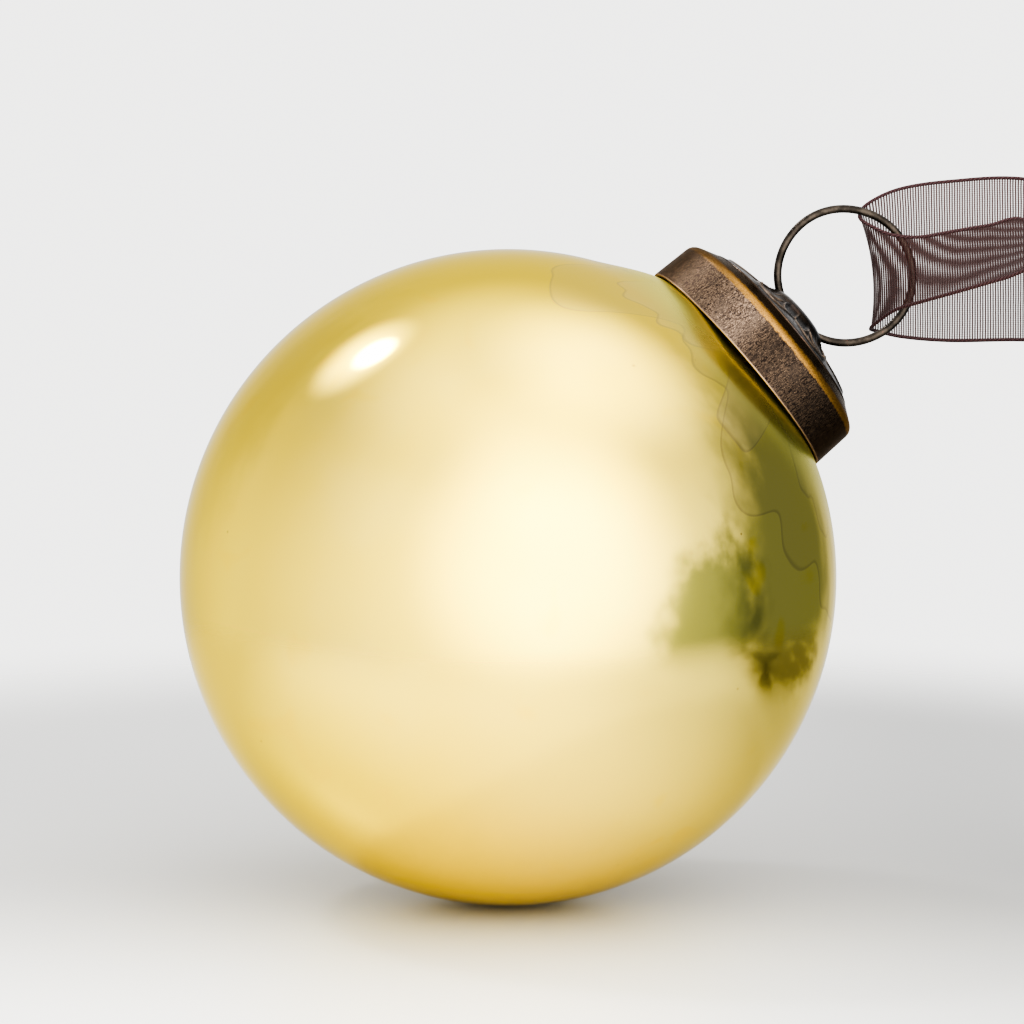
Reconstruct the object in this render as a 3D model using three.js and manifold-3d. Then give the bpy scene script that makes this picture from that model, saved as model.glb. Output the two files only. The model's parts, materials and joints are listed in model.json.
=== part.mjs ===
// A glass ball ornament lying on its side: a blown glass ball, a pressed metal cap in two pieces,
// a round wire ring, a spring clip that holds the cap in the ball's neck, and a loop of organza ribbon.
// Millimetres, +Z up. The origin is the spot where the ball touches the table.
import * as THREE from 'three';
import { mergeVertices } from 'three/addons/utils/BufferGeometryUtils.js';
import Module from 'manifold-3d';

const wasm = await Module();
wasm.setup();

// Driving dimensions, in millimetres and degrees.
const BALL_RADIUS = 51;
const GLASS_WALL = 2;
const BALL_SEGMENTS = 48;
const INSIDE_SEGMENTS = 30;
const AXIS_LEAN = 50.4; // of the ornament's axis, from vertical
const AXIS_TURN = 9.1; // of the leaning axis, from +X towards +Y
const RING_ROLL = -10.9; // of the ring's plane, about the ornament's axis
const AXIS_OFFSET = 1.7; // the neck is blown this far off the ball's centre

// Heights are measured along the ornament's axis, from the level of the ball's centre.
const NECK_RADIUS = 14;
const NECK_WALL = 1.8;
const NECK_ROOT = 44; // where the neck starts, inside the ball's wall
const BORE_BOTTOM = 40;
const BORE_SEGMENTS = 40;
const NECK_TOP = 55.4;
const RIM_HEIGHT = 48.12;
const RIM_RADIUS = 19.45;
const SHOULDER_RADIUS = 19.2;
const SHOULDER_HEIGHT = 54.5;
const SHOULDER_ROUNDING = 1;
const SEAT_RADIUS = 15.1;
const SEAT_HEIGHT = 57.15;
const PLATE_TOP = 56.6;
const PLATE_HOLE_RADIUS = 9.5;
const SHEET = 0.55;
const CAP_SEGMENTS = 48;

const CROWN_RADIUS = 15.5;
const CROWN_TOP = 61.8;
const CROWN_SHEET = 0.45;
const RING_RADIUS = 10.57; // to the wire's centre
const RING_HEIGHT = 70.9; // of the ring's centre
const RING_WIRE = 1.25;
const RING_GAP_ANGLE = 2; // the butt joint between the wire's two ends
const RING_SWING = 70;
const SWING_STEP = 20;
const SWING_LINE_HEIGHT = 60.75;
const HOLE_CLEARANCE = 0.3;

const CLIP_WIRE = 0.9;
const CLIP_GAP = 0.3;
const CLIP_GRIP_RADIUS = 11.4; // where the legs bear on the inside of the neck

const RIBBON_THICKNESS = 0.4;
const RIBBON_STEPS_PER_ROW = 3;

const radians = THREE.MathUtils.degToRad;

// Materials

function metal(name, color, roughness) {
  return new THREE.MeshStandardMaterial({ name, color, roughness, metalness: 1 });
}

const materials = {
  glass: new THREE.MeshStandardMaterial({ name: 'gold_glass', color: 0xe0cf8a, roughness: 0.05, metalness: 0.6 }),
  band: metal('bronze_band', 0x5a4234, 0.45),
  crown: metal('dark_crown', 0x3a2e28, 0.3),
  ring: metal('ring_wire', 0x3d3029, 0.35),
  clip: metal('clip_wire', 0x9a9a98, 0.3),
  ribbon: new THREE.MeshStandardMaterial({ name: 'organza', color: 0x53303a, roughness: 0.7, metalness: 0 }),
};

// Frame of the cap: +Z along the ornament's axis and +X along the line that the ring swings about.
function makeCapFrame() {
  const frame = new THREE.Group();
  frame.position.z = BALL_RADIUS;
  frame.rotation.set(0, radians(AXIS_LEAN), radians(AXIS_TURN), 'ZYX');
  frame.rotateZ(radians(RING_ROLL));
  frame.translateX(-AXIS_OFFSET);
  frame.updateMatrix();
  return frame;
}

// Helpers for solids

function toSolid(geometry) {
  const bare = geometry.clone();
  bare.deleteAttribute('normal');
  bare.deleteAttribute('uv');
  const merged = mergeVertices(bare, 1e-4);
  const corners = Array.from(merged.index.array);
  const kept = [];
  for (let i = 0; i < corners.length; i += 3) {
    const [a, b, c] = corners.slice(i, i + 3);
    if (a !== b && b !== c && c !== a) kept.push(a, b, c);
  }
  return new wasm.Manifold(new wasm.Mesh({
    numProp: 3,
    vertProperties: Float32Array.from(merged.attributes.position.array),
    triVerts: Uint32Array.from(kept),
  }));
}

function toGeometry(solid) {
  const mesh = solid.getMesh();
  const geometry = new THREE.BufferGeometry();
  geometry.setAttribute('position', new THREE.BufferAttribute(new Float32Array(mesh.vertProperties), 3));
  geometry.setIndex(new THREE.BufferAttribute(new Uint32Array(mesh.triVerts), 1));
  geometry.computeVertexNormals();
  return geometry;
}

// Turns a profile of [radius, height] pairs about the Z axis.
function turned(profile, segments = CAP_SEGMENTS) {
  const points = profile.map(([radius, height]) => new THREE.Vector2(radius, height));
  return new THREE.LatheGeometry(points, segments).rotateX(Math.PI / 2);
}

function sphere(radius, segments) {
  return new THREE.SphereGeometry(radius, segments, Math.round(segments * 0.6)).rotateX(Math.PI / 2);
}

function cylinder(radius, bottom, top, segments) {
  const height = top - bottom;
  return new THREE.CylinderGeometry(radius, radius, height, segments)
    .rotateX(Math.PI / 2)
    .translate(0, 0, bottom + height / 2);
}

function wireAlong(curve, diameter, steps) {
  const section = new THREE.Shape();
  section.absarc(0, 0, diameter / 2, 0, 2 * Math.PI);
  return new THREE.ExtrudeGeometry(section, { extrudePath: curve, steps, curveSegments: 4, bevelEnabled: false });
}

// Glass ball

// The neck's outside, flared where it grows out of the ball. It reaches down into the ball, where the two are joined.
function neckOutside() {
  const flare = [
    [18.2, NECK_ROOT], [18, 46.9], [17.5, 47.8], [16.6, 48.7], [15.5, 49.8], [14.6, 51.2], [14.1, 52.6],
  ];
  return turned([[0, NECK_ROOT], ...flare, [NECK_RADIUS, 53.6], [NECK_RADIUS, NECK_TOP], [0, NECK_TOP]]);
}

function makeBall(capFrame) {
  const centre = new THREE.Vector3(0, 0, BALL_RADIUS);
  const outside = sphere(BALL_RADIUS, BALL_SEGMENTS).translate(...centre);
  const inside = sphere(BALL_RADIUS - GLASS_WALL, INSIDE_SEGMENTS).translate(...centre);
  const neck = neckOutside().applyMatrix4(capFrame.matrix);
  const bore = cylinder(NECK_RADIUS - NECK_WALL, BORE_BOTTOM, NECK_TOP + 1, BORE_SEGMENTS);
  const blown = toSolid(outside).add(toSolid(neck));
  const hollow = toSolid(inside).add(toSolid(bore.applyMatrix4(capFrame.matrix)));
  return toGeometry(blown.subtract(hollow));
}

// Cap band: a spun cup with a straight wall, a rounded shoulder and a top plate with a round hole for the clip

function makeBand() {
  const corner = SHOULDER_RADIUS - SHOULDER_ROUNDING;
  const rounding = [0, 20, 40, 60].map((degrees) => [
    corner + SHOULDER_ROUNDING * Math.cos(radians(degrees)),
    SHOULDER_HEIGHT + SHOULDER_ROUNDING * Math.sin(radians(degrees)),
  ]);
  const plateBottom = PLATE_TOP - SHEET;
  const lowerInsideCorner = [RIM_RADIUS - SHEET, RIM_HEIGHT];
  return turned([
    lowerInsideCorner,
    [RIM_RADIUS, RIM_HEIGHT],
    ...rounding,
    [SEAT_RADIUS + 0.5, SEAT_HEIGHT - 0.05],
    [SEAT_RADIUS, SEAT_HEIGHT],
    [SEAT_RADIUS - 0.3, PLATE_TOP],
    [PLATE_HOLE_RADIUS, PLATE_TOP],
    [PLATE_HOLE_RADIUS, plateBottom],
    [SEAT_RADIUS, plateBottom],
    [SEAT_RADIUS + 0.5, SEAT_HEIGHT - 0.05 - SHEET],
    [corner + 0.1, SHOULDER_HEIGHT + 0.4],
    [SHOULDER_RADIUS - SHEET, SHOULDER_HEIGHT - 0.1],
    lowerInsideCorner,
  ]);
}

// Hanging ring: round wire with a butt joint under the crown

function ringCurve() {
  const curve = new THREE.Curve();
  const turn = radians(360 - RING_GAP_ANGLE);
  const start = radians(RING_GAP_ANGLE / 2 - 90);
  curve.getPoint = (t, target = new THREE.Vector3()) => {
    const angle = start + t * turn;
    return target.set(RING_RADIUS * Math.cos(angle), 0, RING_HEIGHT + RING_RADIUS * Math.sin(angle));
  };
  return curve;
}

function makeRing() {
  return wireAlong(ringCurve(), RING_WIRE, 56);
}

// Crown: a low pressed dome, with two slots that leave the ring room to swing

function crownDome() {
  const rise = [
    [CROWN_RADIUS, 57.45], [14.8, 57.95], [13.3, 58.4], [10.6, 59.05], [7.6, 60.05], [6.5, 60.65], [5.6, 61.3],
    [4.4, CROWN_TOP - 0.08], [0, CROWN_TOP],
  ];
  const underside = rise.slice(1).map(([radius, height]) => [Math.max(radius - 0.2, 0), height - CROWN_SHEET]);
  return turned([...underside.reverse(), [CROWN_RADIUS - 0.8, 57.45], ...rise]);
}

function makeCrown() {
  const sweep = new THREE.TorusGeometry(RING_RADIUS, RING_WIRE / 2 + HOLE_CLEARANCE, 8, 48)
    .rotateX(Math.PI / 2)
    .translate(0, 0, RING_HEIGHT - SWING_LINE_HEIGHT);
  let crown = toSolid(crownDome());
  for (let degrees = -RING_SWING; degrees <= RING_SWING; degrees += SWING_STEP) {
    const swung = sweep.clone().rotateX(radians(degrees)).translate(0, 0, SWING_LINE_HEIGHT);
    crown = crown.subtract(toSolid(swung));
  }
  return toGeometry(crown);
}

// Spring clip: a wire whose two looped shoulders lie on the band's plate and whose legs grip the neck

function clipHalf() {
  const shoulder = PLATE_TOP + CLIP_GAP + CLIP_WIRE / 2;
  return [
    [9, 0, 31], [10.7, 0, 33.4], [CLIP_GRIP_RADIUS, 0, 37], [CLIP_GRIP_RADIUS - 0.2, 0, 41], [9.9, -0.2, 47],
    [8.7, -0.7, 52.5], [8.3, -1.2, 55.8], [8.9, -1.3, shoulder - 0.1], [10.4, -1.2, shoulder],
    [11.5, 0, shoulder], [10.4, 1.2, shoulder], [8, 1, shoulder], [4, 0.5, shoulder],
  ];
}

function makeClip() {
  const half = clipHalf();
  const otherHalf = half.map(([x, y, z]) => [-x, -y, z]).reverse();
  const points = [...half, ...otherHalf].map((point) => new THREE.Vector3(...point));
  return wireAlong(new THREE.CatmullRomCurve3(points, false, 'centripetal'), CLIP_WIRE, 76);
}

// Ribbon: each strip is given by its two long edges, row by row, in the ornament's own frame

const LOOP_ROWS = [
  // the front strand, from the knot up to the ring
  [[136, -4, 1], [136, 5, 1]],
  [[126, -7.5, 1.2], [126, 8.5, 1.3]],
  [[117, -10.5, 4.2], [117, 11.5, 4.5]],
  [[110.5, -12, 14], [110.5, 12.5, 14]],
  [[107, -12.7, 32], [107, 12.7, 32]],
  [[104.5, -13, 52], [104.5, 12, 52.5]],
  [[101, -14.5, 71.5], [101, 9.8, 73]],
  [[95.5, -16.5, 87], [96, 7.8, 89]],
  [[88.8, -17.2, 95.8], [89, 7.2, 99]],
  [[81, -16.5, 99.9], [81, 7.5, 106.1]],
  [[75, -13, 98.1], [75, 7.3, 105.4]],
  [[69, -8.5, 96], [69, 7.2, 104.4]],
  [[64, -3.5, 94.2], [64, 7.2, 103.6]],
  [[60.2, 1.5, 92.6], [59.8, 7, 104]],
  [[57.9, 4.9, 90.7], [56.9, 7.5, 105.2]],
  // through the ring
  [[56.8, 7.8, 89.3], [55.1, 10, 106.6]],
  // the back strand, from the ring down to the knot
  [[58, 10.6, 88.7], [56.6, 12.9, 108.6]],
  [[62.4, 11.5, 87.7], [61.8, 14.4, 110.9]],
  [[70, 12.2, 87.1], [70, 15, 112.1]],
  [[81, 12.5, 87.2], [81, 14.5, 112.5]],
  [[91, 14.5, 86.5], [93.2, 6, 110]],
  [[101, 15.5, 87.5], [105.2, -5.5, 101]],
  [[111, 14.5, 83.5], [113.5, -10.3, 87]],
  [[118.5, 13.5, 68], [119, -11.8, 68.8]],
  [[122, 13.2, 49], [122, -12.2, 49]],
  [[123.5, 13, 30], [123.5, -12.4, 30]],
  [[125, 12.5, 14.5], [125, -12, 14.5]],
  [[129, 9.5, 6], [129, -8.5, 6]],
  [[136, 4.8, 4.6], [136, -4, 4.6]],
];

const FRONT_TAIL_ROWS = [
  [[149.6, -4.5, 2.2], [149.6, 3, 2.2]],
  [[153, -7.5, 1.4], [153, 3.2, 1.4]],
  [[159, -14, 0.7], [160, 1.5, 0.7]],
  [[166, -21, 0.5], [168.5, -1, 0.5]],
  [[171, -25.5, 0.5], [175, -3, 0.5]],
];

const BACK_TAIL_ROWS = [
  [[149.6, -3, 4.6], [149.6, 4.5, 4.6]],
  [[153, -2.8, 3.6], [153, 8, 3.6]],
  [[160, -0.5, 2.2], [159, 15, 2.2]],
  [[168, 3, 1.2], [165, 22, 1.2]],
  [[174, 5, 1], [170, 27.5, 1]],
];

const KNOT_CENTRE = [142.8, 0.4, 4.9];
const KNOT_HALF_SIZE = [6.2, 7.5, 4.6];

function edgeCurve(rows, side) {
  return new THREE.CatmullRomCurve3(rows.map((row) => new THREE.Vector3(...row[side])), false, 'catmullrom', 0.5);
}

// A thin closed slab between two edges: four corners at each station, joined to the next four.
function strip(rows) {
  const [near, far] = [edgeCurve(rows, 0), edgeCurve(rows, 1)];
  const stations = (rows.length - 1) * RIBBON_STEPS_PER_ROW;
  const positions = [];
  for (let i = 0; i <= stations; i += 1) {
    const t = i / stations;
    const [a, b] = [near.getPoint(t), far.getPoint(t)];
    const along = near.getTangent(t).add(far.getTangent(t));
    const out = b.clone().sub(a).cross(along).setLength(RIBBON_THICKNESS / 2);
    for (const corner of [a.clone().add(out), b.clone().add(out), b.clone().sub(out), a.clone().sub(out)]) {
      positions.push(...corner);
    }
  }
  const indices = [0, 2, 1, 0, 3, 2];
  for (let i = 0; i < stations; i += 1) {
    for (let side = 0; side < 4; side += 1) {
      const [p, q] = [4 * i + side, 4 * i + ((side + 1) % 4)];
      indices.push(p, q, q + 4, p, q + 4, p + 4);
    }
  }
  const last = 4 * stations;
  indices.push(last, last + 1, last + 2, last, last + 2, last + 3);
  const geometry = new THREE.BufferGeometry();
  geometry.setAttribute('position', new THREE.Float32BufferAttribute(positions, 3));
  geometry.setIndex(indices);
  geometry.computeVertexNormals();
  return geometry;
}

function makeKnot() {
  return new THREE.SphereGeometry(1, 20, 12).scale(...KNOT_HALF_SIZE).translate(...KNOT_CENTRE);
}

// Assembly

function named(name, geometry, material) {
  const mesh = new THREE.Mesh(geometry, material);
  mesh.name = name;
  return mesh;
}

const capFrame = makeCapFrame();
capFrame.add(
  named('cap_band', makeBand(), materials.band),
  named('cap_crown', makeCrown(), materials.crown),
  named('hanging_ring', makeRing(), materials.ring),
  named('spring_clip', makeClip(), materials.clip),
);

const ornament = new THREE.Group();
ornament.add(
  named('glass_ball', makeBall(capFrame), materials.glass),
  capFrame,
  named('ribbon_loop', strip(LOOP_ROWS), materials.ribbon),
  named('ribbon_knot', makeKnot(), materials.ribbon),
  named('ribbon_tail_front', strip(FRONT_TAIL_ROWS), materials.ribbon),
  named('ribbon_tail_back', strip(BACK_TAIL_ROWS), materials.ribbon),
);

export default ornament;
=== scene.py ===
"""A gold glass ball ornament lying on a white table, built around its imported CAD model.

Tables of shape are in millimetres. The cap frame is the ornament's own: Z runs along its axis, with heights
counted from the level of the ball's centre, and X runs along the line that the hanging ring swings about.
"""

import json
import math

import bmesh
import bpy
import numpy as np
from mathutils import Matrix, Vector


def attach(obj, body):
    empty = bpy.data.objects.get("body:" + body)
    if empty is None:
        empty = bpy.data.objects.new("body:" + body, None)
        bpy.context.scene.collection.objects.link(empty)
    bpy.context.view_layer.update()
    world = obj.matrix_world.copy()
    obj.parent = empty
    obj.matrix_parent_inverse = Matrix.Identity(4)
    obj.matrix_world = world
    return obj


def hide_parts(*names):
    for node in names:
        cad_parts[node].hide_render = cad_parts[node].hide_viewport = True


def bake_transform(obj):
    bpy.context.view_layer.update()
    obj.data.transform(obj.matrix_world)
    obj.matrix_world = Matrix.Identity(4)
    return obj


MM = 0.001
TURNED_SEGMENTS = 256

# Camera
CAMERA_PLACE = (0.0006, -0.6448, 0.1290)
CAMERA_TARGET = (0.00062, 0.0, 0.06119)
CAMERA_VIEW_ANGLE = 14.0

# Glass ball
BALL_RADIUS = 51.0
GLASS_WALL = 2.0
NECK_OFFSET = 1.7
NECK_TINT_HEIGHT = 43.5
NECK_HAZE_HEIGHT = 42.75
SWELL = 1.3
SWELL_SIDE = 190  # degrees round the cap's axis

# Cap
RIM_HEIGHT = 48.12
BRASS_BOTTOM = 54.5
BRASS_TOP = 55.8
CROWN_RADIUS = 15.5
CROWN_DEPTH = 0.6
CROWN_UNDER_SCALE = 0.97
PETALS = 8
PETAL_LIP = 0.24
PETAL_WIDTH = 0.94  # of the room that each petal has round the crown
PETAL_RIB = 0.035  # of the same
PETAL_BLUNTNESS = 0.6

# Ring and clip
RING_RADIUS = 10.57
RING_HEIGHT = 70.9
RING_WIRE = 1.25
RING_GAP = 2  # degrees between the wire's ends, under the crown
RING_SWING = 70  # degrees each way
SWING_LINE_HEIGHT = 60.75
CLIP_WIRE = 0.9
SLOT_ROOM = 0.15

# Ribbon
RIBBON_WIDTH = 25.4
WEFT_PITCH = 0.40
WARP_PITCH = 0.34
WEFT_SHARE = 0.655
WARP_SHARE = 0.55
SELVAGE_WIRE = 0.55
SELVAGE_TWIST = 0.36

# Table
TABLE_REACH = 400.0
TABLE_MIDDLE = (0, 60, 0)
TABLE_RADIUS = 200.0
TABLE_FADE = 60.0
SHADED_TABLE = (220, 50, 0)
TABLE_GAP = 0.1  # below the ball's lowest point, so that the two don't share a face

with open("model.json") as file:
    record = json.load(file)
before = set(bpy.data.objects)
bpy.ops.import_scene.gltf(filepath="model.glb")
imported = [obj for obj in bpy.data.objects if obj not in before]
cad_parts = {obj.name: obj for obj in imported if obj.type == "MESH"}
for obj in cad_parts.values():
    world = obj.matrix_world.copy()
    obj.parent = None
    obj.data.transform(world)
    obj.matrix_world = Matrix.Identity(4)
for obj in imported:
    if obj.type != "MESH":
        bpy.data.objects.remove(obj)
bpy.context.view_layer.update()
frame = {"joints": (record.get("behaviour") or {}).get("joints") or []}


# Frames


def joint(name):
    return next(j for j in frame["joints"] if j["name"] == name)


def cap_matrix():
    """The cap frame, from the joints that turn about its Z and X."""
    z_axis = Vector(joint("cap_turn")["axis"]).normalized()
    x_axis = Vector(joint("ring_swing")["axis"]).normalized()
    matrix = Matrix((x_axis, z_axis.cross(x_axis), z_axis)).transposed().to_4x4()
    matrix.translation = Vector(joint("cap_turn")["pos_m"])
    return matrix


CAP = cap_matrix()
WORLD = Matrix.Identity(4)


# Shapes


def smoothstep(x, low, high):
    t = np.clip((np.asarray(x, float) - low) / (high - low), 0, 1)
    return t * t * (3 - 2 * t)


def catmull_rom(points, steps):
    """A smooth curve through the points, with this many steps between each two, as an array."""
    p = np.asarray(points, float)
    p = np.vstack([2 * p[0] - p[1], p, 2 * p[-1] - p[-2]])
    curve = []
    for i in range(1, len(p) - 2):
        for t in np.arange(steps) / steps:
            a = 2 * p[i]
            b = p[i + 1] - p[i - 1]
            c = 2 * p[i - 1] - 5 * p[i] + 4 * p[i + 1] - p[i + 2]
            d = 3 * p[i] - p[i - 1] - 3 * p[i + 1] + p[i + 2]
            curve.append(0.5 * (a + b * t + c * t**2 + d * t**3))
    curve.append(p[-2])
    return np.array(curve)


def filleted(corners, steps=5):
    """An outline through (radius, height, fillet) corners, each rounded by its fillet."""
    outline = []
    for i, (r, h, fillet) in enumerate(corners):
        here = np.array([r, h], float)
        if fillet == 0 or i in (0, len(corners) - 1):
            outline.append(here)
            continue
        before = np.array(corners[i - 1][:2], float) - here
        after = np.array(corners[i + 1][:2], float) - here
        start = here + before / np.linalg.norm(before) * min(fillet, np.linalg.norm(before) / 2)
        end = here + after / np.linalg.norm(after) * min(fillet, np.linalg.norm(after) / 2)
        for t in np.linspace(0, 1, steps):
            outline.append((1 - t) ** 2 * start + 2 * t * (1 - t) * here + t**2 * end)
    return np.array(outline)


def resampled(outline, spacing):
    """The outline with points added so that none lie further apart than spacing."""
    points = [outline[0]]
    for a, b in zip(outline[:-1], outline[1:]):
        count = max(1, math.ceil(np.linalg.norm(b - a) / spacing))
        points += [a + (b - a) * k / count for k in range(1, count + 1)]
    return np.array(points)


def turned(outline, segments, x_offset=None):
    """A grid of points: the (radius, height) outline turned about Z. x_offset shifts each height along X."""
    radius, height = outline[:, 0], outline[:, 1]
    angle = np.linspace(0, 2 * math.pi, segments, endpoint=False)
    shift = np.zeros_like(height) if x_offset is None else x_offset(height)
    x = radius[:, None] * np.cos(angle) + shift[:, None]
    y = radius[:, None] * np.sin(angle)
    z = np.repeat(height[:, None], segments, axis=1)
    return np.stack([x, y, z], axis=-1)


def tube(path, radius, sides):
    """A grid of points round a path, on a frame that is carried along it without twisting."""
    path = np.asarray(path, float)
    tangent = np.gradient(path, axis=0)
    tangent /= np.linalg.norm(tangent, axis=1, keepdims=True)
    normal = np.cross(tangent[0], (0.3, 0.9, 0.2))
    rings = []
    angle = np.linspace(0, 2 * math.pi, sides, endpoint=False)
    for point, along in zip(path, tangent):
        normal = normal - along * (normal @ along)
        normal /= np.linalg.norm(normal)
        side = np.cross(along, normal)
        rings.append(point + radius * (np.cos(angle)[:, None] * normal + np.sin(angle)[:, None] * side))
    return np.array(rings)


def add_piece(
    name, grid, material, matrix=WORLD, wrap=True, caps=False, kept=None, uv=None, attributes=None
):
    """A mesh object from a grid of points in millimetres, given in the frame of matrix.

    wrap joins each row's last point to its first, and caps closes the first and last rows. A face stays
    where any of its points is in kept. uv holds cloth coordinates, and attributes a value for each point.
    """
    rows, cols = grid.shape[:2]
    faces = []
    for i in range(rows - 1):
        for j in range(cols if wrap else cols - 1):
            k = (j + 1) % cols
            a, b = i * cols, (i + 1) * cols
            faces.append((a + j, a + k, b + k, b + j))
    if caps:
        faces.append(tuple(reversed(range(cols))))
        faces.append(tuple((rows - 1) * cols + j for j in range(cols)))
    if kept is not None:
        faces = [face for face in faces if any(kept[v] for v in face)]
    mesh = bpy.data.meshes.new(name)
    mesh.from_pydata((grid.reshape(-1, 3) * MM).tolist(), [], faces)
    mesh.transform(matrix)
    mesh.polygons.foreach_set("use_smooth", [True] * len(faces))
    if uv is not None:
        layer = mesh.uv_layers.new(name="Cloth")
        corner = np.zeros(len(mesh.loops), np.int32)
        mesh.loops.foreach_get("vertex_index", corner)
        layer.data.foreach_set("uv", (uv.reshape(-1, 2)[corner] * MM).ravel())
    for key, values in (attributes or {}).items():
        layer = mesh.attributes.new(key, "FLOAT", "POINT")
        layer.data.foreach_set("value", np.asarray(values, np.float32).ravel())
    work = bmesh.new()
    work.from_mesh(mesh)
    bmesh.ops.delete(work, geom=[v for v in work.verts if not v.link_faces], context="VERTS")
    bmesh.ops.remove_doubles(work, verts=work.verts, dist=1e-6)
    if wrap:
        bmesh.ops.recalc_face_normals(work, faces=work.faces)
    work.to_mesh(mesh)
    work.free()
    mesh.materials.append(material)
    piece = bpy.data.objects.new(name, mesh)
    bpy.context.scene.collection.objects.link(piece)
    return piece


# Materials

# Films that have run from the neck over the glass: (unevenness, lowest and highest edge, colour)
NECK_RUNS = [
    (2.1, 30, 45, (0.66, 0.52, 0.18)),
    (2.9, 37, 46, (0.80, 0.64, 0.30)),
]

# Where the mirror coat is thicker or thinner: (place in the part's frame, full within, gone beyond, colour)
COAT_TONES = [
    ((-28, -28, 10), 10, 44, (0.97, 0.72, 0.010)),
    ((-49, -12, 56), 6, 44, (0.95, 0.70, 0.045)),
    ((-6, -12, 100), 4, 34, (0.95, 0.70, 0.040)),
    ((30, -38, 28), 6, 46, (0.93, 0.72, 0.125)),
    ((47, -20, 56), 12, 44, (0.90, 0.74, 0.190)),
]


class Tree:
    """Makes nodes in one node tree. An input given as a socket is linked, and any other value is set."""

    def __init__(self, tree):
        self.tree = tree
        tree.nodes.clear()

    def node(self, kind, inputs=None, **settings):
        made = self.tree.nodes.new(kind)
        for key, value in settings.items():
            setattr(made, key, value)
        for key, value in (inputs or {}).items():
            if isinstance(value, bpy.types.NodeSocket):
                self.tree.links.new(value, made.inputs[key])
            else:
                made.inputs[key].default_value = value
        return made

    def math(self, operation, *values):
        return self.node("ShaderNodeMath", dict(enumerate(values)), operation=operation).outputs[0]

    def ramp(self, value, low, high, to_low=0.0, to_high=1.0):
        """value turned smoothly from to_low at low to to_high at high."""
        inputs = {"Value": value, "From Min": low, "From Max": high, "To Min": to_low, "To Max": to_high}
        return self.node("ShaderNodeMapRange", inputs, interpolation_type="SMOOTHSTEP").outputs[0]

    def edge(self, value, at_mm, soft_mm, to_low=0.0, to_high=1.0):
        """A length in metres, turned from to_low to to_high across a soft edge given in millimetres."""
        return self.ramp(value, (at_mm - soft_mm) * MM, (at_mm + soft_mm) * MM, to_low, to_high)

    def mix(self, share, a, b, blend="MIX"):
        """Colour a turned into colour b by share."""
        made = self.node("ShaderNodeMix", data_type="RGBA", blend_type=blend)
        for key, value in ((0, share), (6, a), (7, b)):
            if isinstance(value, bpy.types.NodeSocket):
                self.tree.links.new(value, made.inputs[key])
            else:
                made.inputs[key].default_value = value if key == 0 else (*value, 1)
        return made.outputs[2]

    def noise(self, vector, scale, detail=2.0, roughness=0.5, distortion=0.0):
        inputs = {"Vector": vector, "Scale": scale, "Detail": detail, "Roughness": roughness}
        inputs["Distortion"] = distortion
        return self.node("ShaderNodeTexNoise", inputs).outputs[0]

    def cells(self, vector, scale):
        """How far each point is from the middle of its cell."""
        return self.node("ShaderNodeTexVoronoi", {"Vector": vector, "Scale": scale}).outputs["Distance"]

    def place(self):
        """The point's place in the part's frame, in metres."""
        return self.node("ShaderNodeTexCoord").outputs["Object"]

    def cap_place(self):
        """The point's place in the cap frame, in metres."""
        inputs = {"Vector": self.place(), "Location": CAP.translation, "Rotation": CAP.to_euler()}
        return self.node("ShaderNodeMapping", inputs, vector_type="TEXTURE").outputs[0]

    def stretched(self, vector, scale):
        return self.node("ShaderNodeMapping", {"Vector": vector, "Scale": scale}).outputs[0]

    def bump(self, height, distance):
        inputs = {"Height": height, "Distance": distance, "Strength": 1.0}
        return self.node("ShaderNodeBump", inputs).outputs[0]


def new_material(name):
    material = bpy.data.materials.new(name)
    material.use_nodes = True
    return material, Tree(material.node_tree)


def finish_material(tree, shader):
    tree.node("ShaderNodeOutputMaterial", {"Surface": shader.outputs[0]})


def split(tree, vector):
    return tree.node("ShaderNodeSeparateXYZ", {"Vector": vector}).outputs


def near(tree, place, centre_mm, inner_mm, outer_mm):
    """1 within inner_mm of a point of the frame that place is in, fading to 0 at outer_mm from it."""
    centre = tuple(c * MM for c in centre_mm)
    distance = tree.node("ShaderNodeVectorMath", {0: place, 1: centre}, operation="DISTANCE")
    return tree.ramp(distance.outputs["Value"], inner_mm * MM, outer_mm * MM, 1.0, 0.0)


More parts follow.
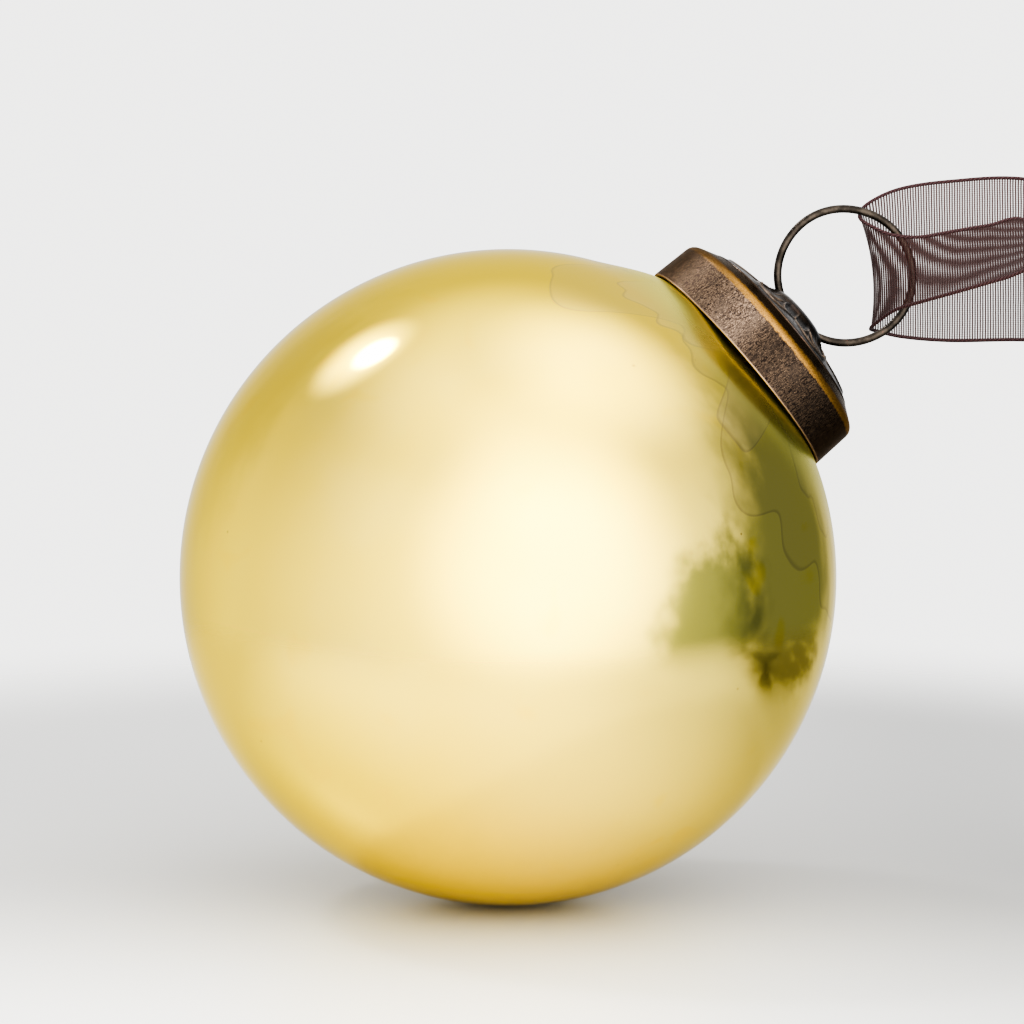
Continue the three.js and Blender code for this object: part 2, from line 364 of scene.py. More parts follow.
def silvered_glass():
    """Glass over a gold mirror coat: a metal under a clear coat, blotched, and with runs near the neck."""
    material, tree = new_material("silvered_glass")
    place = tree.cap_place()
    clouds = tree.noise(place, 38, 3, 0.55)
    colour = tree.mix(tree.ramp(clouds, 0.35, 0.68), (0.95, 0.70, 0.075), (0.95, 0.715, 0.105))
    for centre, inner, outer, tone in COAT_TONES:
        local = CAP.inverted() @ Vector([c * MM for c in centre])
        colour = tree.mix(near(tree, place, local / MM, inner, outer), colour, tone)
    blotches = tree.ramp(tree.noise(place, 85, 2, 0.5, 0.6), 0.62, 0.72)
    colour = tree.mix(tree.math("MULTIPLY", blotches, 0.35), colour, (0.97, 0.66, 0.012))

    x, y, height = split(tree, place)
    radius = tree.math("SQRT", tree.math("ADD", tree.math("POWER", x, 2), tree.math("POWER", y, 2)))
    around = tree.node("ShaderNodeCombineXYZ", {
        "X": tree.math("DIVIDE", x, radius),
        "Y": tree.math("DIVIDE", y, radius),
        "Z": tree.math("MULTIPLY", height, 9.0),
    }).outputs[0]
    for scale, lowest, highest, film in NECK_RUNS:
        reach = tree.noise(around, scale, 1.5, 0.45)
        level = tree.math("SUBTRACT", height, tree.ramp(reach, 0.3, 0.7, highest * MM, lowest * MM))
        run = tree.edge(level, 0.05, 0.15)
        line = tree.math("MULTIPLY", run, tree.edge(level, 0.45, 0.25, 1.0, 0.0))
        colour = tree.mix(tree.math("MULTIPLY", run, 0.30), colour, film)
        colour = tree.mix(tree.math("MULTIPLY", line, 0.38), colour, (0.38, 0.29, 0.12))
    colour = tree.mix(tree.edge(height, NECK_TINT_HEIGHT, 3.0, 0.0, 0.75), colour, (0.72, 0.72, 0.20))

    specks = tree.cells(place, 260)
    rare = tree.ramp(tree.noise(place, 120, 1), 0.60, 0.66)
    pit = tree.math("MULTIPLY", tree.ramp(specks, 0.03, 0.07, 1.0, 0.0), rare)
    colour = tree.mix(tree.math("MULTIPLY", pit, 0.7), colour, (0.32, 0.20, 0.05))

    haze = tree.edge(height, NECK_HAZE_HEIGHT, 4.25, 0.0, 0.22)
    smooth = tree.ramp(tree.noise(place, 55, 2), 0.3, 0.7, 0.045, 0.10)
    shader = tree.node("ShaderNodeBsdfPrincipled", {
        "Base Color": colour,
        "Metallic": 1.0,
        "Roughness": tree.math("ADD", smooth, haze),
        "Normal": tree.bump(tree.noise(place, 30, 1, 0.4), 0.00012),
        "Specular Tint": (1.0, 0.92, 0.55, 1),
        "Coat Weight": 0.12,
        "Coat Roughness": 0.015,
        "Coat IOR": 1.5,
    })
    finish_material(tree, shader)
    return material


def band_metal():
    """Speckled dark bronzing, worn to brass along the upper edge and bare at the cut lower edge."""
    material, tree = new_material("band_metal")
    place = tree.cap_place()
    side, _, height = split(tree, place)
    grain = tree.noise(place, 6500, 2, 0.8)
    cloud = tree.noise(place, 420, 3, 0.6)
    brushed = tree.noise(tree.stretched(place, (1, 1, 0.3)), 4600, 2, 0.75)
    mixed = tree.math("ADD", tree.math("MULTIPLY", grain, 0.55), tree.math("MULTIPLY", brushed, 0.45))
    colour = tree.mix(tree.ramp(mixed, 0.42, 0.62), (0.009, 0.0072, 0.0075), (0.135, 0.094, 0.065))
    colour = tree.mix(tree.ramp(cloud, 0.35, 0.7, 0.0, 0.55), colour, (0.055, 0.041, 0.032))
    glints = tree.ramp(tree.noise(place, 7000, 1, 0.5), 0.66, 0.74)
    colour = tree.mix(tree.math("MULTIPLY", glints, 0.8), colour, (0.30, 0.21, 0.14))

    # Painted light and shade along the band's side: its colour is multiplied by up to 1.8 left of the
    # middle, where light falls, and by about 0.5 to 0.75 right of it, where it is shaded.
    painted_light_rise = tree.edge(side, -10.5, 3.5, 1.10, 1.80)
    painted_shade_fall = tree.edge(side, -3.0, 3.0, 1.0, 0.28)
    end = tree.edge(side, 4.0, 2.0, 1.0, 1.5)
    painted_light_and_shade = tree.math("MULTIPLY", tree.math("MULTIPLY", painted_light_rise, painted_shade_fall), end)
    painted_light_and_shade_grey = tree.node("ShaderNodeCombineXYZ", {"X": painted_light_and_shade, "Y": painted_light_and_shade, "Z": painted_light_and_shade}).outputs[0]
    colour = tree.mix(1.0, colour, painted_light_and_shade_grey, "MULTIPLY")

    ragged = tree.math("MULTIPLY", tree.math("SUBTRACT", tree.noise(place, 1500, 4, 0.8), 0.5), 0.0011)
    level = tree.math("ADD", height, ragged)
    above = tree.edge(level, BRASS_BOTTOM, 0.15)
    below = tree.edge(level, BRASS_TOP, 0.2, 1.0, 0.0)
    worn = tree.math("MULTIPLY", tree.math("MULTIPLY", above, below), tree.edge(side, -13.0, 6.0, 0.25, 1.0))
    brass = tree.mix(tree.ramp(grain, 0.35, 0.65), (0.15, 0.078, 0.022), (0.32, 0.180, 0.052))
    colour = tree.mix(worn, colour, brass)
    shoulder = tree.edge(level, BRASS_TOP + 0.1, 0.3)
    colour = tree.mix(shoulder, colour, tree.mix(cloud, (0.016, 0.012, 0.010), (0.050, 0.036, 0.028)))
    bare = tree.edge(height, RIM_HEIGHT + 0.215, 0.115, 1.0, 0.0)
    colour = tree.mix(bare, colour, (0.30, 0.20, 0.13))

    rough = tree.ramp(mixed, 0.35, 0.65, 0.34, 0.50)
    rough = tree.node("ShaderNodeMix", {0: shoulder, 2: rough, 3: 0.26}, data_type="FLOAT").outputs[0]
    shader = tree.node("ShaderNodeBsdfPrincipled", {
        "Base Color": colour,
        "Metallic": 1.0,
        "Roughness": rough,
        "Specular Tint": (0.55, 0.50, 0.45, 1),
        "Normal": tree.bump(mixed, 0.00004),
    })
    finish_material(tree, shader)
    return material


def crown_metal():
    """Glossy dark bronzing, worn brighter along the raised lips of the petals; the lightening also serves as
    a painted highlight on them.
    """
    material, tree = new_material("crown_metal")
    place = tree.cap_place()
    raised = tree.node("ShaderNodeAttribute", attribute_name="raised").outputs["Fac"]
    tint = tree.noise(place, 300, 2, 0.5)
    colour = tree.mix(tree.ramp(tint, 0.35, 0.65), (0.046, 0.032, 0.022), (0.036, 0.029, 0.026))
    colour = tree.mix(tree.ramp(tree.noise(place, 700, 3, 0.6), 0.5, 0.72), colour, (0.065, 0.043, 0.032))
    # Real wear and painted highlight together: the raised lips are lightened towards a pale bronze.
    wear_and_highlight = tree.math("MULTIPLY", raised, tree.ramp(tree.noise(place, 900, 3, 0.7), 0.30, 0.60, 0.25, 0.85))
    colour = tree.mix(wear_and_highlight, colour, (0.34, 0.25, 0.18))
    shader = tree.node("ShaderNodeBsdfPrincipled", {
        "Base Color": colour,
        "Metallic": 1.0,
        "Roughness": tree.ramp(tree.noise(place, 1500, 3, 0.6), 0.3, 0.7, 0.20, 0.36),
        "Normal": tree.bump(tree.noise(place, 1900, 3, 0.6), 0.00003),
    })
    finish_material(tree, shader)
    return material


# Dark tone, light tone, worn glint and roughness
BRONZED_WIRE = (0.020, 0.017, 0.014), (0.050, 0.041, 0.033), (0.14, 0.062, 0.045), 0.32
STEEL_WIRE = (0.35, 0.34, 0.32), (0.55, 0.54, 0.52), (0.7, 0.7, 0.7), 0.28


def wire_metal(name, dark, light, glint, roughness):
    """Wire in blotches of two tones, with a fine grain and a few worn glints."""
    material, tree = new_material(name)
    place = tree.cap_place()
    blotch = tree.noise(place, 520, 3, 0.65)
    colour = tree.mix(tree.ramp(blotch, 0.35, 0.65), dark, light)
    worn = tree.ramp(tree.noise(place, 330, 4, 0.75), 0.64, 0.72)
    colour = tree.mix(tree.math("MULTIPLY", worn, 0.7), colour, glint)
    shader = tree.node("ShaderNodeBsdfPrincipled", {
        "Base Color": colour,
        "Metallic": 1.0,
        "Roughness": tree.ramp(blotch, 0.3, 0.7, roughness - 0.06, roughness + 0.08),
        "Normal": tree.bump(tree.noise(place, 2400, 3, 0.6), 0.00004),
    })
    finish_material(tree, shader)
    return material


def thread_lines(tree, distance, pitch_mm, share):
    """1 on threads that cover this share of each pitch along distance, and 0 between them."""
    wave = tree.math("PINGPONG", tree.math("DIVIDE", distance, pitch_mm * MM / 2), 1.0)
    return tree.ramp(wave, share - 0.16, share + 0.16, 1.0, 0.0)


def organza():
    """Sheer weave: threads across and along the ribbon, which close up as the cloth turns away."""
    material, tree = new_material("organza")
    cloth = tree.node("ShaderNodeUVMap", uv_map="Cloth").outputs[0]
    drift = tree.noise(cloth, 260, 2, 0.5)
    along, across, _ = split(tree, cloth)
    wander = tree.math("MULTIPLY", tree.math("SUBTRACT", drift, 0.5), 0.00013)
    weft = thread_lines(tree, tree.math("ADD", along, wander), WEFT_PITCH, WEFT_SHARE)
    warp = thread_lines(tree, tree.math("ADD", across, wander), WARP_PITCH, WARP_SHARE)
    threads = tree.math("MAXIMUM", weft, tree.math("MULTIPLY", warp, 0.5))
    tone = tree.noise(cloth, 900, 3, 0.7)
    colour = tree.mix(tone, (0.015, 0.0048, 0.0042), (0.037, 0.0130, 0.0112))
    fibre = tree.node("ShaderNodeBsdfPrincipled", {
        "Base Color": colour,
        "Roughness": 0.5,
        "Specular IOR Level": 0.09,
        "Normal": tree.bump(threads, 0.00008),
    })
    open_weave = tree.node("ShaderNodeBsdfTransparent")
    facing = tree.node("ShaderNodeLayerWeight", {"Blend": 0.5}).outputs["Facing"]
    closed = tree.math("MAXIMUM", threads, tree.ramp(facing, 0.12, 0.62, 0.0, 0.75))
    solid = tree.math("MULTIPLY", closed, 0.97)
    shader = tree.node("ShaderNodeMixShader", {
        0: solid, 1: open_weave.outputs[0], 2: fibre.outputs[0],
    })
    finish_material(tree, shader)
    return material


def selvage_thread():
    """The ribbon's corded edge, a twisted thread."""
    material, tree = new_material("selvage_thread")
    cloth = tree.node("ShaderNodeUVMap", uv_map="Cloth").outputs[0]
    along, around, _ = split(tree, cloth)
    twist = tree.math("ADD", along, around)
    strand = tree.math("PINGPONG", tree.math("DIVIDE", twist, SELVAGE_TWIST * MM), 1.0)
    colour = tree.mix(strand, (0.017, 0.006, 0.007), (0.062, 0.028, 0.029))
    shader = tree.node("ShaderNodeBsdfPrincipled", {
        "Base Color": colour,
        "Roughness": 0.55,
        "Specular IOR Level": 0.15,
        "Normal": tree.bump(strand, 0.00012),
    })
    finish_material(tree, shader)
    return material


def white_table():
    """A smooth white table that fades into the backdrop. It carries painted shade: darker towards the back
    and the right, and its right side darker still in reflections only.
    """
    material, tree = new_material("white_table")
    place = tree.place()
    side, depth, _ = split(tree, place)
    # Painted shade: the white darkens towards the back and towards the right side.
    tone = tree.math("MULTIPLY", tree.edge(depth, -40, 70, 0.97, 0.45), tree.edge(side, 45, 45, 1.0, 0.66))
    # Painted shade seen only by reflected rays: blotches around SHADED_TABLE darken the table where the ball
    # reflects it.
    shade = tree.math("MULTIPLY", near(tree, place, SHADED_TABLE, 70, 150), tree.noise(place, 25, 3, 0.6))
    reflected = tree.node("ShaderNodeLightPath").outputs["Is Glossy Ray"]
    shade = tree.math("MULTIPLY", shade, reflected)
    tone = tree.math("MULTIPLY", tone, tree.ramp(shade, 0.1, 0.5, 1.0, 0.22))
    colour = tree.node("ShaderNodeCombineColor", {
        "Red": tone, "Green": tone, "Blue": tree.math("MULTIPLY", tone, 0.985),
    }).outputs[0]
    surface = tree.node("ShaderNodeBsdfPrincipled", {
        "Base Color": colour,
        "Roughness": 0.32,
        "Specular IOR Level": 0.5,
    })
    inside = near(tree, place, TABLE_MIDDLE, TABLE_RADIUS - TABLE_FADE, TABLE_RADIUS + TABLE_FADE)
    shader = tree.node("ShaderNodeMixShader", {
        0: tree.math("SUBTRACT", 1.0, inside),
        1: surface.outputs[0],
        2: tree.node("ShaderNodeBsdfTransparent").outputs[0],
    })
    finish_material(tree, shader)
    return material


# The glass ball


def neck_shift(height):
    """How far along X the glass's circle at this height is centred."""
    return NECK_OFFSET * (1 - smoothstep(height, 48.3, 52.0))


def swollen(grid):
    """The glass drawn up towards the cap's rim on the side where the neck leans away from it."""
    x, y, z = np.moveaxis(grid, -1, 0)
    off_side = np.abs((np.degrees(np.arctan2(y, x)) - SWELL_SIDE + 180) % 360 - 180)
    radius = np.hypot(x, y)
    near_rim = (1 - smoothstep(radius, 18.0, 28.0)) * smoothstep(z, 30, 42) * (1 - smoothstep(z, 50.5, 54))
    lift = SWELL * near_rim * (1 - smoothstep(off_side, 35, 80))
    return np.stack([x, y, z + lift], axis=-1)


def make_glass_ball(material):
    def bowl(radius, widest_end):
        angle = np.linspace(0, math.pi - math.asin(widest_end / radius), 130)
        return np.stack([radius * np.sin(angle), -radius * np.cos(angle)], axis=1)

    neck = [
        (16.5, 48.26), (15.6, 49.0), (14.8, 50.2), (14.25, 51.6), (14.0, 53.2), (14.0, 54.9), (13.8, 55.3),
    ]
    lip = [(13.1, 55.5), (12.4, 55.3), (12.2, 54.9), (12.2, 52.0), (12.25, 49.5), (12.6, 47.9)]
    outside = catmull_rom(neck, 4)
    inside = catmull_rom([neck[-1], *lip], 4)
    inner_bowl = bowl(BALL_RADIUS - GLASS_WALL, 13.2)[::-1]
    outline = np.vstack([bowl(BALL_RADIUS, 16.6), outside, inside[1:], inner_bowl])
    ball = add_piece("blown_glass", swollen(turned(outline, TURNED_SEGMENTS, neck_shift)), material, CAP)
    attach(ball, "ball")
    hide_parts("glass_ball")


# The cap


def make_band(material):
    corners = [
        (18.9, RIM_HEIGHT, 0.0),
        (19.45, RIM_HEIGHT, 0.15),
        (19.43, 48.6, 0.1),
        (19.2, 55.35, 0.95),
        (15.75, 57.2, 0.35),
        (15.0, 57.1, 0.2),
        (14.8, 56.6, 0.2),
        (9.5, 56.6, 0.2),
        (9.5, 56.05, 0.2),
        (15.2, 56.05, 0.3),
        (18.65, 54.9, 0.6),
        (18.9, RIM_HEIGHT, 0.0),
    ]
    outline = resampled(filleted(corners), 0.4)
    band = add_piece("cap_band_metal", turned(outline, TURNED_SEGMENTS), material, CAP)
    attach(band, "cap")
    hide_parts("cap_band")


CROWN_OUTLINE = [
    (0, 61.75), (2.5, 61.75), (4.2, 61.65), (5.4, 61.2), (6.3, 60.5), (7.6, 59.8), (10.6, 58.9),
    (13.3, 58.25), (15.1, 57.6), (15.5, 57.4),
]


def petal_tier(radius, angle, inner, outer, phase):
    """(lip, cup, rib) of a ring of petals: its raised edge, its hollow and its midrib, each from 0 to 1."""
    turn = (angle * PETALS / (2 * math.pi) + phase) % 1.0 - 0.5
    edge = inner + (outer - inner) * np.cos(math.pi * turn * PETAL_WIDTH) ** PETAL_BLUNTNESS
    slope = np.gradient(edge, axis=1) / (np.gradient(angle, axis=1) * np.maximum(radius, 1))
    outside = (radius - edge) / np.sqrt(1 + slope**2)
    lip = np.exp(-((outside / PETAL_LIP) ** 2))
    inside = smoothstep(-outside, 0.2, 1.0) * smoothstep(radius, inner - 1.5, inner)
    rib = np.exp(-((turn / PETAL_RIB) ** 2)) * inside
    return lip, inside, rib


def crown_relief(radius, angle):
    """(height added to the crown, how raised it is)."""
    wide_lip, wide_cup, wide_rib = petal_tier(radius, angle, 9.6, 14.3, 0.0)
    small_lip, small_cup, small_rib = petal_tier(radius, angle, 6.2, 10.6, 0.5)
    below = 1 - small_cup
    height = 0.26 * wide_lip * below - 0.30 * wide_cup * below + 0.14 * wide_rib * below
    height += 0.26 * small_lip - 0.16 * small_cup + 0.12 * small_rib
    fade = smoothstep(radius, 5.6, 6.6) * (1 - smoothstep(radius, 14.4, 15.2))
    raised = np.clip(wide_lip * below + small_lip + 0.5 * (wide_rib * below + small_rib), 0, 1)
    return height * fade, raised * fade


def room_round_ring(points):
    """How far each point is outside the space that the ring's wire sweeps as it swings."""
    nearest = np.full(len(points), np.inf)
    for degrees in range(-RING_SWING, RING_SWING + 1, 4):
        turn = math.radians(degrees)
        up = points[:, 2] - SWING_LINE_HEIGHT
        y = points[:, 1] * math.cos(turn) + up * math.sin(turn)
        z = up * math.cos(turn) - points[:, 1] * math.sin(turn) + SWING_LINE_HEIGHT
        out = np.hypot(points[:, 0], z - RING_HEIGHT) - RING_RADIUS
        nearest = np.minimum(nearest, np.hypot(out, y))
    return nearest - RING_WIRE / 2 - SLOT_ROOM


def drawn_to_slots(points, room):
    """The points just inside the ring's slots moved to the slots' edges, so that the slots cut clean."""
    points = points.copy()
    edge = (room < 0) & (room > -0.25)
    step = 0.02
    for _ in range(4):
        here = room_round_ring(points[edge])
        slope_x = (room_round_ring(points[edge] + (step, 0, 0)) - here) / step
        slope_y = (room_round_ring(points[edge] + (0, step, 0)) - here) / step
        size = np.maximum(slope_x**2 + slope_y**2, 0.3)
        points[edge, 0] -= here * slope_x / size
        points[edge, 1] -= here * slope_y / size
    return points


def make_crown(material):
    outline = np.array(CROWN_OUTLINE, float)
    smooth = catmull_rom(outline, 12)
    radii = np.concatenate([np.linspace(0, 5, 34), np.linspace(5.05, CROWN_RADIUS, 110)])
    base = np.interp(radii, smooth[:, 0], smooth[:, 1])[:, None]
    angle = np.linspace(0, 2 * math.pi, 480, endpoint=False)
    radius, turn = np.meshgrid(radii, angle, indexing="ij")
    added, raised = crown_relief(radius, turn)
    x, y = radius * np.cos(turn), radius * np.sin(turn)
    top = np.stack([x, y, base + added], axis=-1)
    under = np.stack([x * CROWN_UNDER_SCALE, y * CROWN_UNDER_SCALE, base - CROWN_DEPTH + 0 * turn], axis=-1)
    grid = np.vstack([top, under[::-1]])
    raised = np.vstack([raised, 0 * raised])
    room = room_round_ring(grid.reshape(-1, 3))
    grid = drawn_to_slots(grid.reshape(-1, 3), room).reshape(grid.shape)
    attributes = {"raised": raised}
    crown = add_piece("cap_crown_metal", grid, material, CAP, kept=room > 0, attributes=attributes)
    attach(crown, "cap")
    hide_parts("cap_crown")


# The ring and the spring clip


def make_ring(material):
    angle = np.radians(np.linspace(RING_GAP / 2 - 90, 270 - RING_GAP / 2, 300))
    wobble = 0.06 * np.sin(2 * angle + 0.7) + 0.03 * np.sin(5 * angle)
    path = np.stack([
        (RING_RADIUS + wobble) * np.cos(angle),
        0 * angle,
        RING_HEIGHT + (RING_RADIUS + wobble) * np.sin(angle),
    ], axis=1)
    ring = add_piece("ring_of_wire", tube(path, RING_WIRE / 2, 24), material, CAP, caps=True)
    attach(ring, "ring")
    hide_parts("hanging_ring")


CLIP_HALF = [
    (9.0, 0, 31), (10.7, 0, 33.4), (11.4, 0, 37), (11.2, 0, 41), (9.9, -0.2, 47), (8.7, -0.7, 52.5),
    (8.3, -1.2, 55.8), (8.9, -1.3, 57.25), (10.4, -1.2, 57.35), (11.5, 0, 57.35), (10.4, 1.2, 57.35),
    (8, 1, 57.35), (4, 0.5, 57.35),
]


def make_clip(material):
    other_half = [(-x, -y, z) for x, y, z in reversed(CLIP_HALF)]
    path = catmull_rom(CLIP_HALF + other_half, 8)
    clip = add_piece("clip_of_wire", tube(path, CLIP_WIRE / 2, 16), material, CAP, caps=True)
    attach(clip, "clip")
    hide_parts("spring_clip")


# The ribbon: each row gives its lower and upper edge, from the knot along the front strand, through the ring
# and back along the rear strand

LOOP_ROWS = [
    ((136, -4, 1), (136, 5, 1)),
    ((126, -7.5, 1.2), (126, 8.5, 1.3)),
    ((117, -10.5, 4.2), (117, 11.5, 4.5)),
    ((110.5, -12, 14), (110.5, 12.5, 14)),
    ((107, -12.7, 32), (107, 12.7, 32)),
    ((104.5, -13, 52), (104.5, 12, 52.5)),
    ((101, -14.5, 71.5), (101, 9.8, 73)),
    ((95.5, -16.5, 87), (96, 7.8, 89)),
    ((88.8, -17.2, 95.8), (89, 7.2, 99)),
    ((81, -16.5, 99.9), (81, 7.5, 106.1)),
    ((75, -13, 98.1), (75, 7.3, 105.4)),
    ((69, -8.5, 96), (69, 7.2, 104.4)),
    ((64, -3.5, 94.2), (64, 7.2, 103.6)),
    ((60.2, 1.5, 92.6), (59.8, 7, 104)),
    ((57.9, 4.9, 90.7), (56.9, 7.5, 105.2)),
    ((56.8, 7.8, 89.3), (55.1, 10, 106.6)),
    ((58, 10.6, 88.7), (56.6, 12.9, 108.6)),
    ((62.4, 11.5, 87.7), (61.8, 14.4, 110.9)),
    ((70, 12.2, 87.1), (70, 15, 112.1)),
    ((81, 12.5, 87.2), (81, 14.5, 112.5)),
    ((91, 14.5, 86.5), (93.2, 6, 110)),
    ((101, 15.5, 87.5), (105.2, -5.5, 101)),
    ((111, 14.5, 83.5), (113.5, -10.3, 87)),
    ((118.5, 13.5, 68), (119, -11.8, 68.8)),
    ((122, 13.2, 49), (122, -12.2, 49)),
    ((123.5, 13, 30), (123.5, -12.4, 30)),
    ((125, 12.5, 14.5), (125, -12, 14.5)),
    ((129, 9.5, 6), (129, -8.5, 6)),
    ((136, 4.8, 4.6), (136, -4, 4.6)),
]
FOLD_ROW = 15

FRONT_TAIL_ROWS = [
    ((147.5, -2.5, 3.0), (147.5, 2.5, 3.0)),
    ((149.6, -4.5, 2.4), (149.6, 3, 2.4)),
    ((153, -7.5, 1.6), (153, 3.2, 1.6)),
    ((159, -14, 0.9), (160, 1.5, 0.9)),
    ((166, -21, 0.7), (168.5, -1, 0.7)),
    ((171, -25.5, 0.7), (175, -3, 0.7)),
]

BACK_TAIL_ROWS = [
    ((147.5, -2.5, 5.0), (147.5, 2.5, 5.0)),
    ((149.6, -3, 4.6), (149.6, 4.5, 4.6)),
    ((153, -2.8, 3.6), (153, 8, 3.6)),
    ((160, -0.5, 2.2), (159, 15, 2.2)),
    ((168, 3, 1.2), (165, 22, 1.2)),
    ((174, 5, 1), (170, 27.5, 1)),
]


def ribbon_grid(rows, steps, bulge, gather):
    """Points and cloth coordinates of a strip. For a place along it, bulge gives how far its middle stands
    off the line between its edges, and gather how deep its lengthwise gathers are, in millimetres."""
    low = catmull_rom([r[0] for r in rows], steps)
    high = catmull_rom([r[1] for r in rows], steps)
    v = np.linspace(0, 1, 29)
    points = low[:, None] + (high - low)[:, None] * v[None, :, None]
    along = np.gradient((low + high) / 2, axis=0)
    normal = np.cross(high - low, along)
    normal /= np.linalg.norm(normal, axis=1, keepdims=True)
    t = np.linspace(0, len(rows) - 1, len(low))
    lift = bulge(t)[:, None] * 4 * v * (1 - v) + gather(t)[:, None] * np.sin(2 * math.pi * 3.5 * v + 0.6)
    points = points + normal[:, None] * lift[..., None]
    middle = points[:, 14]
    length = np.concatenate([[0], np.cumsum(np.linalg.norm(np.diff(middle, axis=0), axis=1))])
    cloth = np.stack(np.broadcast_arrays(length[:, None], v[None] * RIBBON_WIDTH), axis=-1)
    return points, cloth


def make_selvage(name, edge, material):
    path = np.asarray(edge)
    grid = tube(path, SELVAGE_WIRE / 2, 10)
    length = np.concatenate([[0], np.cumsum(np.linalg.norm(np.diff(path, axis=0), axis=1))])
    around = np.linspace(0, math.pi * SELVAGE_WIRE, 10)
    cloth = np.stack(np.broadcast_arrays(length[:, None], around[None]), axis=-1)
    return add_piece(name, grid, material, caps=True, uv=cloth)


def make_strip(name, rows, steps, cloth_material, edge_material, bulge, gather):
    points, cloth = ribbon_grid(rows, steps, bulge, gather)
    strip = add_piece(name, points, cloth_material, wrap=False, uv=cloth)
    edges = [
        make_selvage(f"{name}_selvage_{k}", points[:, column], edge_material)
        for k, column in ((1, 0), (2, -1))
    ]
    return strip, edges


def make_knot(material):
    """The ribbon's own wrap round itself: a pinched barrel with slanting pleats."""
    centre = np.array([142.8, 0.4, 4.9])
    v = np.linspace(-1, 1, 40)
    angle = np.linspace(0, 2 * math.pi, 96, endpoint=False)
    v, turn = np.meshgrid(v, angle, indexing="ij")
    girth = np.sqrt(np.clip(1 - (np.abs(v) ** 2.6) * 0.92, 0, 1))
    pleat = 0.045 * np.sin(9 * v + 2 * turn) * np.sin(3 * turn + 1.5)
    x = centre[0] + 6.0 * v + 0.8 * np.sin(turn)
    y = centre[1] + 7.0 * girth * (1 + pleat) * np.cos(turn)
    z = centre[2] + 4.2 * girth * (1 + pleat) * np.sin(turn)
    cloth = np.stack([turn * 6.0, (v + 1) * 8.0], axis=-1)
    return add_piece("ribbon_wrap", np.stack([x, y, z], axis=-1), material, uv=cloth)


def make_ribbon(cloth_material, edge_material):
    def loop_bulge(t):
        return -0.8 * np.exp(-(((t - FOLD_ROW) / 2.2) ** 2)) - 0.35

    def loop_gather(t):
        ends = np.minimum(t, len(LOOP_ROWS) - 1 - t)
        return 0.7 * (1 - smoothstep(ends, 0.2, 3.0))

    def tail_gather(t):
        return 0.7 * (1 - smoothstep(t, 0.2, 4.0))

    def flat(t):
        return 0 * t

    loop, loop_edges = make_strip(
        "organza_loop", LOOP_ROWS, 10, cloth_material, edge_material, loop_bulge, loop_gather
    )
    knot = make_knot(cloth_material)
    front, front_edges = make_strip(
        "organza_front_tail", FRONT_TAIL_ROWS, 8, cloth_material, edge_material, flat, tail_gather
    )
    back, back_edges = make_strip(
        "organza_back_tail", BACK_TAIL_ROWS, 8, cloth_material, edge_material, flat, tail_gather
    )
    for piece in (loop, *loop_edges):
        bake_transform(piece)
    still = [knot, front, *front_edges, back, *back_edges]
    for piece in still:
        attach(piece, "cap")
    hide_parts("ribbon_loop")
    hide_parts("ribbon_knot")
    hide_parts("ribbon_tail_front")
    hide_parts("ribbon_tail_back")
    for piece in (loop, *loop_edges, *still):
        piece.visible_glossy = False


# Stage


def make_camera():
    data = bpy.data.cameras.new("camera")
    data.sensor_width = 36
    data.angle = math.radians(CAMERA_VIEW_ANGLE)
    data.clip_start = 0.01
    camera = bpy.data.objects.new("camera", data)
    camera.location = CAMERA_PLACE
    towards = Vector(CAMERA_TARGET) - Vector(CAMERA_PLACE)
    camera.rotation_euler = towards.to_track_quat("-Z", "Y").to_euler()
    bpy.context.scene.collection.objects.link(camera)
    bpy.context.scene.camera = camera


def make_table(material):
    mesh = bpy.data.meshes.new("table")
    reach = TABLE_REACH * MM
    corners = [(-reach, -reach, 0), (reach, -reach, 0), (reach, reach, 0), (-reach, reach, 0)]
    mesh.from_pydata(corners, [], [(0, 1, 2, 3)])
    mesh.materials.append(material)
    table = bpy.data.objects.new("table", mesh)
    table.location.z = -TABLE_GAP * MM
    bpy.context.scene.collection.objects.link(table)


def direction(azimuth, elevation):
    """Azimuth 0 is towards the camera and 90 is towards +X, in degrees."""
    a, e = math.radians(azimuth), math.radians(elevation)
    return (math.sin(a) * math.cos(e), -math.cos(a) * math.cos(e), math.sin(e))


ROOM = 0.85
SEEN_ROOM = (1.76, 1.75, 1.72)

# (azimuth, elevation, full within, gone beyond, strength) of the soft lights round the studio, in degrees
SOFT_LIGHTS = [
    (16, 11, 14, 56, 2.7),
    (2, 6, 10, 105, 2.0),
    (95, 66, 6, 36, 1.8),
    (0, 88, 15, 50, 1.0),
    (20, 45, 8, 40, 0.9),
    (-100, -12, 10, 55, 0.4),
    (-121.5, 54, 0.5, 6.5, 60.0),
    (-124, 50, 1, 15, 4.0),
]

# (azimuth, elevation, full within, gone beyond, share of the light kept, tint) of the studio's dark sides
DARK_SIDES = [
    (-140, 24, 5, 30, 0.8, (1.0, 1.0, 0.97)),
    (120, 0, 18, 48, 0.24, (0.94, 1.10, 1.25)),
    (76, -10, 14, 28, 0.33, (0.94, 1.10, 1.25)),
]


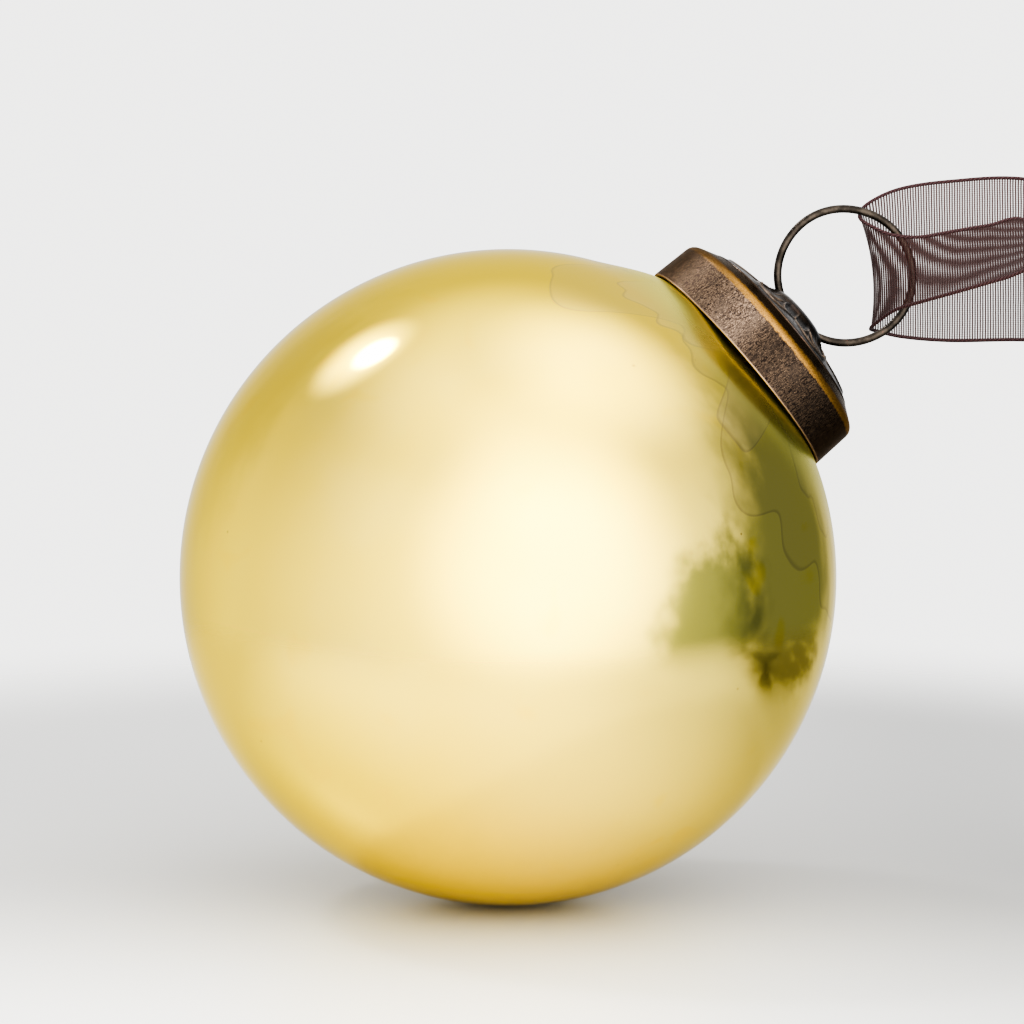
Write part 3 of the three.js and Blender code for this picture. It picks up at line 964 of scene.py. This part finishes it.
def make_studio():
    """A pale room with broad soft lights and a few dark sides. The camera itself sees it plain."""
    world = bpy.data.worlds.new("studio")
    world.use_nodes = True
    bpy.context.scene.world = world
    tree = Tree(world.node_tree)
    looking = tree.node("ShaderNodeTexCoord").outputs["Generated"]
    ragged = tree.math("MULTIPLY", tree.math("SUBTRACT", tree.noise(looking, 7, 4, 0.6), 0.5), 22)

    def towards(azimuth, elevation, inner, outer, rough=None):
        inputs = {0: looking, 1: direction(azimuth, elevation)}
        cosine = tree.node("ShaderNodeVectorMath", inputs, operation="DOT_PRODUCT").outputs["Value"]
        angle = tree.math("DEGREES", tree.math("ARCCOSINE", cosine))
        if rough is not None:
            angle = tree.math("ADD", angle, rough)
        return tree.ramp(angle, inner, outer, 1.0, 0.0)

    light = tree.mix(0.0, (ROOM, ROOM, ROOM), (0, 0, 0))
    for azimuth, elevation, inner, outer, strength in SOFT_LIGHTS:
        share = towards(azimuth, elevation, inner, outer)
        added = tree.mix(share, (0, 0, 0), (strength, strength * 0.99, strength * 0.97))
        light = tree.mix(1.0, light, added, "ADD")
    for azimuth, elevation, inner, outer, kept, tint in DARK_SIDES:
        share = towards(azimuth, elevation, inner, outer, ragged)
        light = tree.mix(share, light, tree.mix(1.0, light, tuple(kept * c for c in tint), "MULTIPLY"))
    seen = tree.node("ShaderNodeLightPath").outputs["Is Camera Ray"]
    background = tree.node("ShaderNodeBackground", {"Color": tree.mix(seen, light, SEEN_ROOM)})
    tree.node("ShaderNodeOutputWorld", {"Surface": background.outputs[0]})


def show_as_a_camera_does():
    settings = bpy.context.scene.view_settings
    settings.view_transform = "AgX"
    settings.look = "AgX - High Contrast"


def main():
    make_camera()
    make_studio()
    show_as_a_camera_does()
    make_table(white_table())
    make_ribbon(organza(), selvage_thread())
    make_glass_ball(silvered_glass())
    make_band(band_metal())
    make_crown(crown_metal())
    make_ring(wire_metal("ring_wire", *BRONZED_WIRE))
    make_clip(wire_metal("clip_wire", *STEEL_WIRE))


main()
